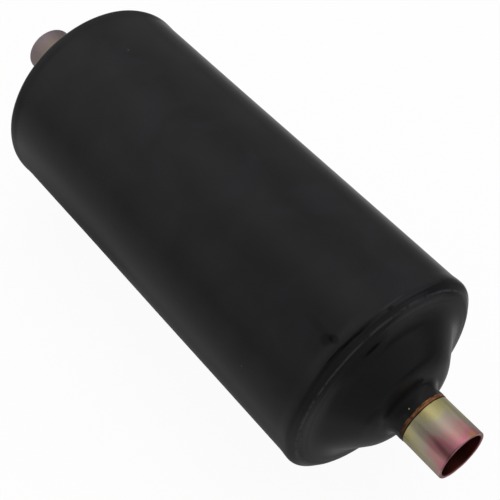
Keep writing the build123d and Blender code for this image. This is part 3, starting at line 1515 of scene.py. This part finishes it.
@dataclass
class StudioRoom:
    """Light that comes from the room: pale walls, a paler ceiling, dim patches and the camera's arm."""

    wall: float = 0.42
    ceiling: float = 0.86
    cove: tuple[float, float] = (-0.1, 0.65)
    shades: tuple[Patch, ...] = (
        Patch(-62, 52, 18, 58, 0.8),
        Patch(-15, 5, 20, 62, 0.34),
        Patch(115, 8, 32, 72, 0.42),
    )
    arm_from: tuple[float, float] = (-112, 34)
    arm_to: tuple[float, float] = (-16, 52)
    arm_width: float = 2.5
    arm_sides: tuple[float, float] = (1.6, 0.6)
    arm_tips: tuple[float, float] = (1.15, 0.95)
    arm_depth: float = 0.9
    head: Patch = Patch(-18, 51, 4, 10, 0.95)

    def build(self) -> None:
        """Make the world."""
        world = bpy.data.worlds.new("studio_room")
        bpy.context.scene.world = world
        graph = Graph(world)
        towards = graph.add("ShaderNodeTexCoord", output="Generated")
        up = graph.add("ShaderNodeSeparateXYZ", None, {0: towards}, "Z")
        level = self.wall + up.rise(*self.cove) * (self.ceiling - self.wall)
        for patch in (*self.shades, self.head):
            level = level * (1 - patch.mask(towards))
        level = level * (1 - self._arm(towards) * self.arm_depth)
        camera = graph.add("ShaderNodeLightPath", output="Is Camera Ray")
        level = level * (1 - camera) + camera
        glow = graph.add("ShaderNodeBackground", None, {"Color": graph.tint((1, 1, 1), level)})
        graph.close("ShaderNodeOutputWorld", glow)

    def _arm(self, towards: Signal) -> Signal:
        """The dark arm that carries the camera.

        Args:
            towards: Direction in the room.

        Returns:
            A mask, 1 on the arm.
        """
        start, stop = compass(*self.arm_from), compass(*self.arm_to)
        across = start.cross(stop).normalized()
        middle = (start + stop).normalized()
        half = start.angle(middle)
        width = sin(radians(self.arm_width))
        off = abs(towards.graph.vector("DOT_PRODUCT", towards, across, output="Value"))
        along = towards.graph.vector("DOT_PRODUCT", towards, middle, output="Value")
        sides = off.rise(*(width * share for share in self.arm_sides))
        return sides * along.rise(*(cos(half * share) for share in self.arm_tips))


@dataclass(frozen=True)
class ShadowPool:
    """A painted shadow on the floor, seen only as the object mirrors it: its middle, half widths and depth.
    """

    x: float
    y: float
    half_x: float
    half_y: float
    depth: float

    def mask(self, graph: Graph) -> Signal:
        """How dim the floor is.

        Args:
            graph: The floor's graph.

        Returns:
            The share of the light that the pool takes away.
        """
        off_x = (graph.along("X") - self.x) * (1 / self.half_x)
        off_y = (graph.along("Y") - self.y) * (1 / self.half_y)
        return (off_x * off_x + off_y * off_y).rise(1.0, 0.25) * self.depth


@dataclass
class Floor:
    """Plain pale floor under the object; where it is mirrored, painted shade dims it towards the back and
    the front, and painted shadows lie on it.

    Its half width is in metres.
    """

    level: float = -38.35
    half_width: float = 4.0
    pale: Colour = (0.9, 0.9, 0.9, 1.0)
    lift: float = 0.95
    mirrored: float = 0.6
    glow: float = 0.3
    back: tuple[float, float] = (60.0, 190.0)
    back_depth: float = 0.7
    front: tuple[float, float] = (120.0, 175.0)
    front_depth: float = 0.35
    # painted shadows: the object's own shadow and dark surroundings, seen only in its reflections
    painted_shadows: tuple[ShadowPool, ...] = (
        ShadowPool(122, 18, 40, 40, 0.5),
        ShadowPool(-10, -36, 150, 26, 0.5),
        ShadowPool(-75, -45, 60, 30, 0.4),
        ShadowPool(118, 100, 62, 72, 0.6),
        ShadowPool(158, -22, 32, 30, 0.5),
    )

    def build(self) -> bpy.types.Object:
        """Lay the floor.

        Returns:
            The floor.
        """
        w, z = self.half_width, self.level * MM
        mesh = bpy.data.meshes.new("floor")
        mesh.from_pydata([(-w, -w, z), (w, -w, z), (w, w, z), (-w, w, z)], [], [(0, 1, 2, 3)])
        mesh.materials.append(self._material())
        floor = placed("floor", mesh)
        return floor

    def _material(self) -> bpy.types.Material:
        """Make the floor's material.

        Returns:
            A material that is white to the camera save for the object's shadow, and dimmer in a mirror.
        """
        material = bpy.data.materials.new("studio_floor")
        graph = Graph(material)
        camera = graph.add("ShaderNodeLightPath", output="Is Camera Ray")
        glossy = graph.add("ShaderNodeLightPath", output="Is Glossy Ray")
        matt = graph.add("ShaderNodeBsdfDiffuse", None, {"Color": self.pale})
        light = 1 - graph.along("Y").rise(*self.back) * self.back_depth
        light = light * (1 - graph.along("X").rise(*self.front) * self.front_depth)
        # painted shadows
        for pool in self.painted_shadows:
            light = light * (1 - pool.mask(graph))
        level = camera + glossy * self.glow * light
        glow = graph.add("ShaderNodeEmission", None, {"Color": graph.tint((1, 1, 1), level)})
        share = camera * self.lift + glossy * (self.mirrored + (1 - light) * (1 - self.mirrored))
        shader = graph.add("ShaderNodeMixShader", None, {0: share, 1: matt, 2: glow})
        graph.close("ShaderNodeOutputMaterial", shader)
        return material


@dataclass
class StudioCamera:
    """Camera level with the horizon, above the outlet end."""

    eye: tuple[float, float, float] = (193.435, -143.709, 295.942)
    ahead: tuple[float, float, float] = (-0.50236, 0.4019, -0.76558)
    lens: float = 79.257
    sensor: float = 36.0
    shift: float = -0.09
    clip: tuple[float, float] = (0.01, 50.0)

    def build(self) -> bpy.types.Object:
        """Set the camera up.

        Returns:
            The camera.
        """
        data = bpy.data.cameras.new("camera")
        data.lens, data.sensor_width, data.shift_y = self.lens, self.sensor, self.shift
        data.clip_start, data.clip_end = self.clip
        camera = placed("camera", data)
        back = -Vector(self.ahead).normalized()
        right = Vector((0, 0, 1)).cross(back).normalized()
        turn = Matrix((right, back.cross(right), back)).transposed()
        camera.matrix_world = Matrix.Translation(Vector(self.eye) * MM) @ turn.to_4x4()
        bpy.context.scene.camera = camera
        return camera


@dataclass
class Studio:
    """Camera, room, floor and lamps."""

    camera: StudioCamera = field(default_factory=StudioCamera)
    room: StudioRoom = field(default_factory=StudioRoom)
    floor: Floor = field(default_factory=Floor)
    lamps: tuple[Softbox, ...] = (Softbox("key_softbox", (-0.35, 0.6, 1.4), 1.4, 12.0),)

    def build(self) -> list[bpy.types.Object]:
        """Set the studio up.

        Returns:
            The camera, the floor and the lamps.
        """
        self.room.build()
        bpy.context.scene.view_settings.view_transform = "Standard"
        return [self.camera.build(), self.floor.build(), *(lamp.build() for lamp in self.lamps)]


def main() -> None:
    """Build the drier and the studio, and report each piece."""
    logging.basicConfig(level=logging.INFO, format="%(name)s: %(message)s")
    shell = BodyShell()
    closures = [EndClosure(end, shell) for end in End]
    sockets = [SolderSocket(cap.end, cap, plating=PLATINGS[cap.end]) for cap in closures]
    for part in (Studio(), shell, *closures, *sockets, DryingCharge()):
        for piece in part.build():
            log.info("%s: %s", type(part).__name__, piece.name)


if __name__ == "__main__":
    main()
